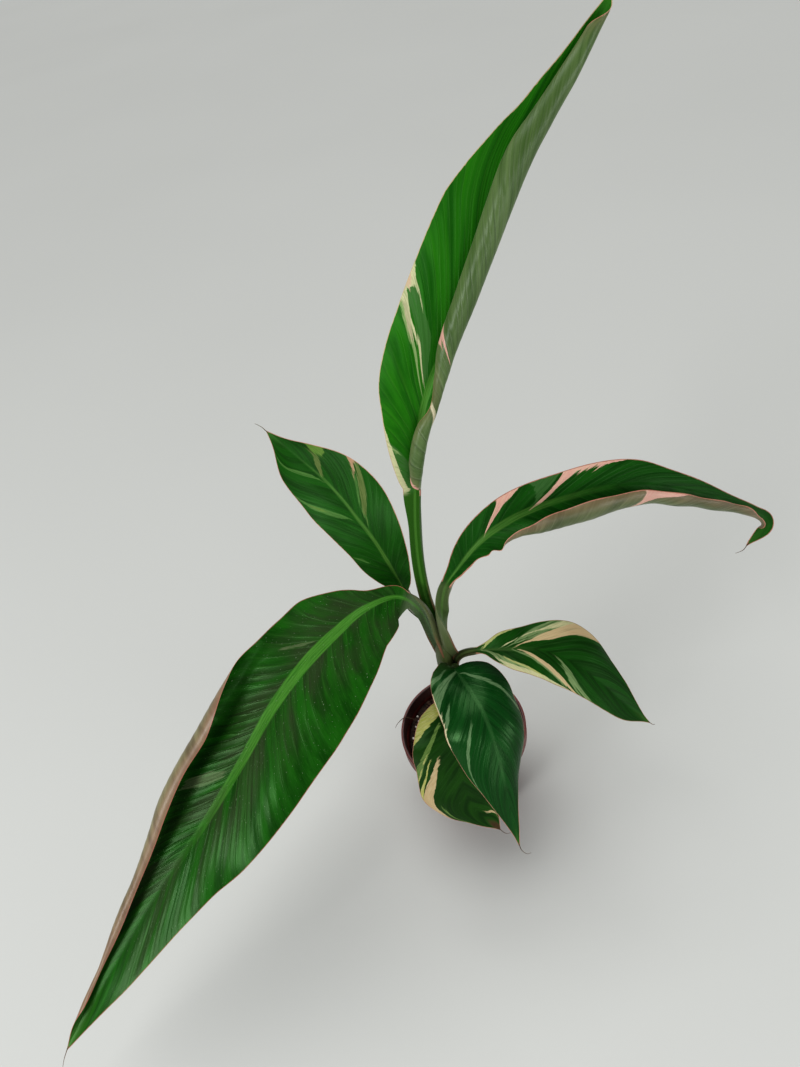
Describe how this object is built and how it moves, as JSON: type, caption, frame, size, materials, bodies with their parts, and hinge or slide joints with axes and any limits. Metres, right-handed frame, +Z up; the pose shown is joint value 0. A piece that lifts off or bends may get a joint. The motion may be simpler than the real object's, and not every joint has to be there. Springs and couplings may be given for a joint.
{
  "type": "potted banana plant",
  "caption": "Young banana plant with pink and cream variegated leaves on a short sheathed stem, growing in soil in a round nursery pot.",
  "frame": {"origin": "centre of the pot's flat underside, on the surface it stands on", "axes": "+Z up along the pot's axis, -Y towards the side the two short leaves hang over, +X towards the arching leaf with the hooked tip"},
  "size_m": [0.5667, 0.2761, 0.5752],
  "materials": {
    "pot_plastic": "matte",
    "potting_soil": "rough crumbs with pale grit",
    "sheath_green": "satin",
    "leaf_bright": "satin",
    "leaf_dark": "satin",
    "leaf_dusky": "satin",
    "leaf_pink": "satin with pink streaks",
    "leaf_cream": "satin with cream streaks",
    "leaf_glossy": "glossy",
    "leaf_yellow": "satin with yellow streaks"
  },
  "bodies": {
    "root": {"pot": "pot_plastic", "soil": "potting_soil", "pseudostem": "sheath_green", "leaf_upright": "leaf_bright", "leaf_upper_left": "leaf_dark", "leaf_lower_left": "leaf_dusky", "leaf_upper_right": "leaf_pink", "leaf_lower_right": "leaf_cream", "leaf_front": "leaf_glossy", "leaf_low": "leaf_yellow"}
  },
  "joints": []
}
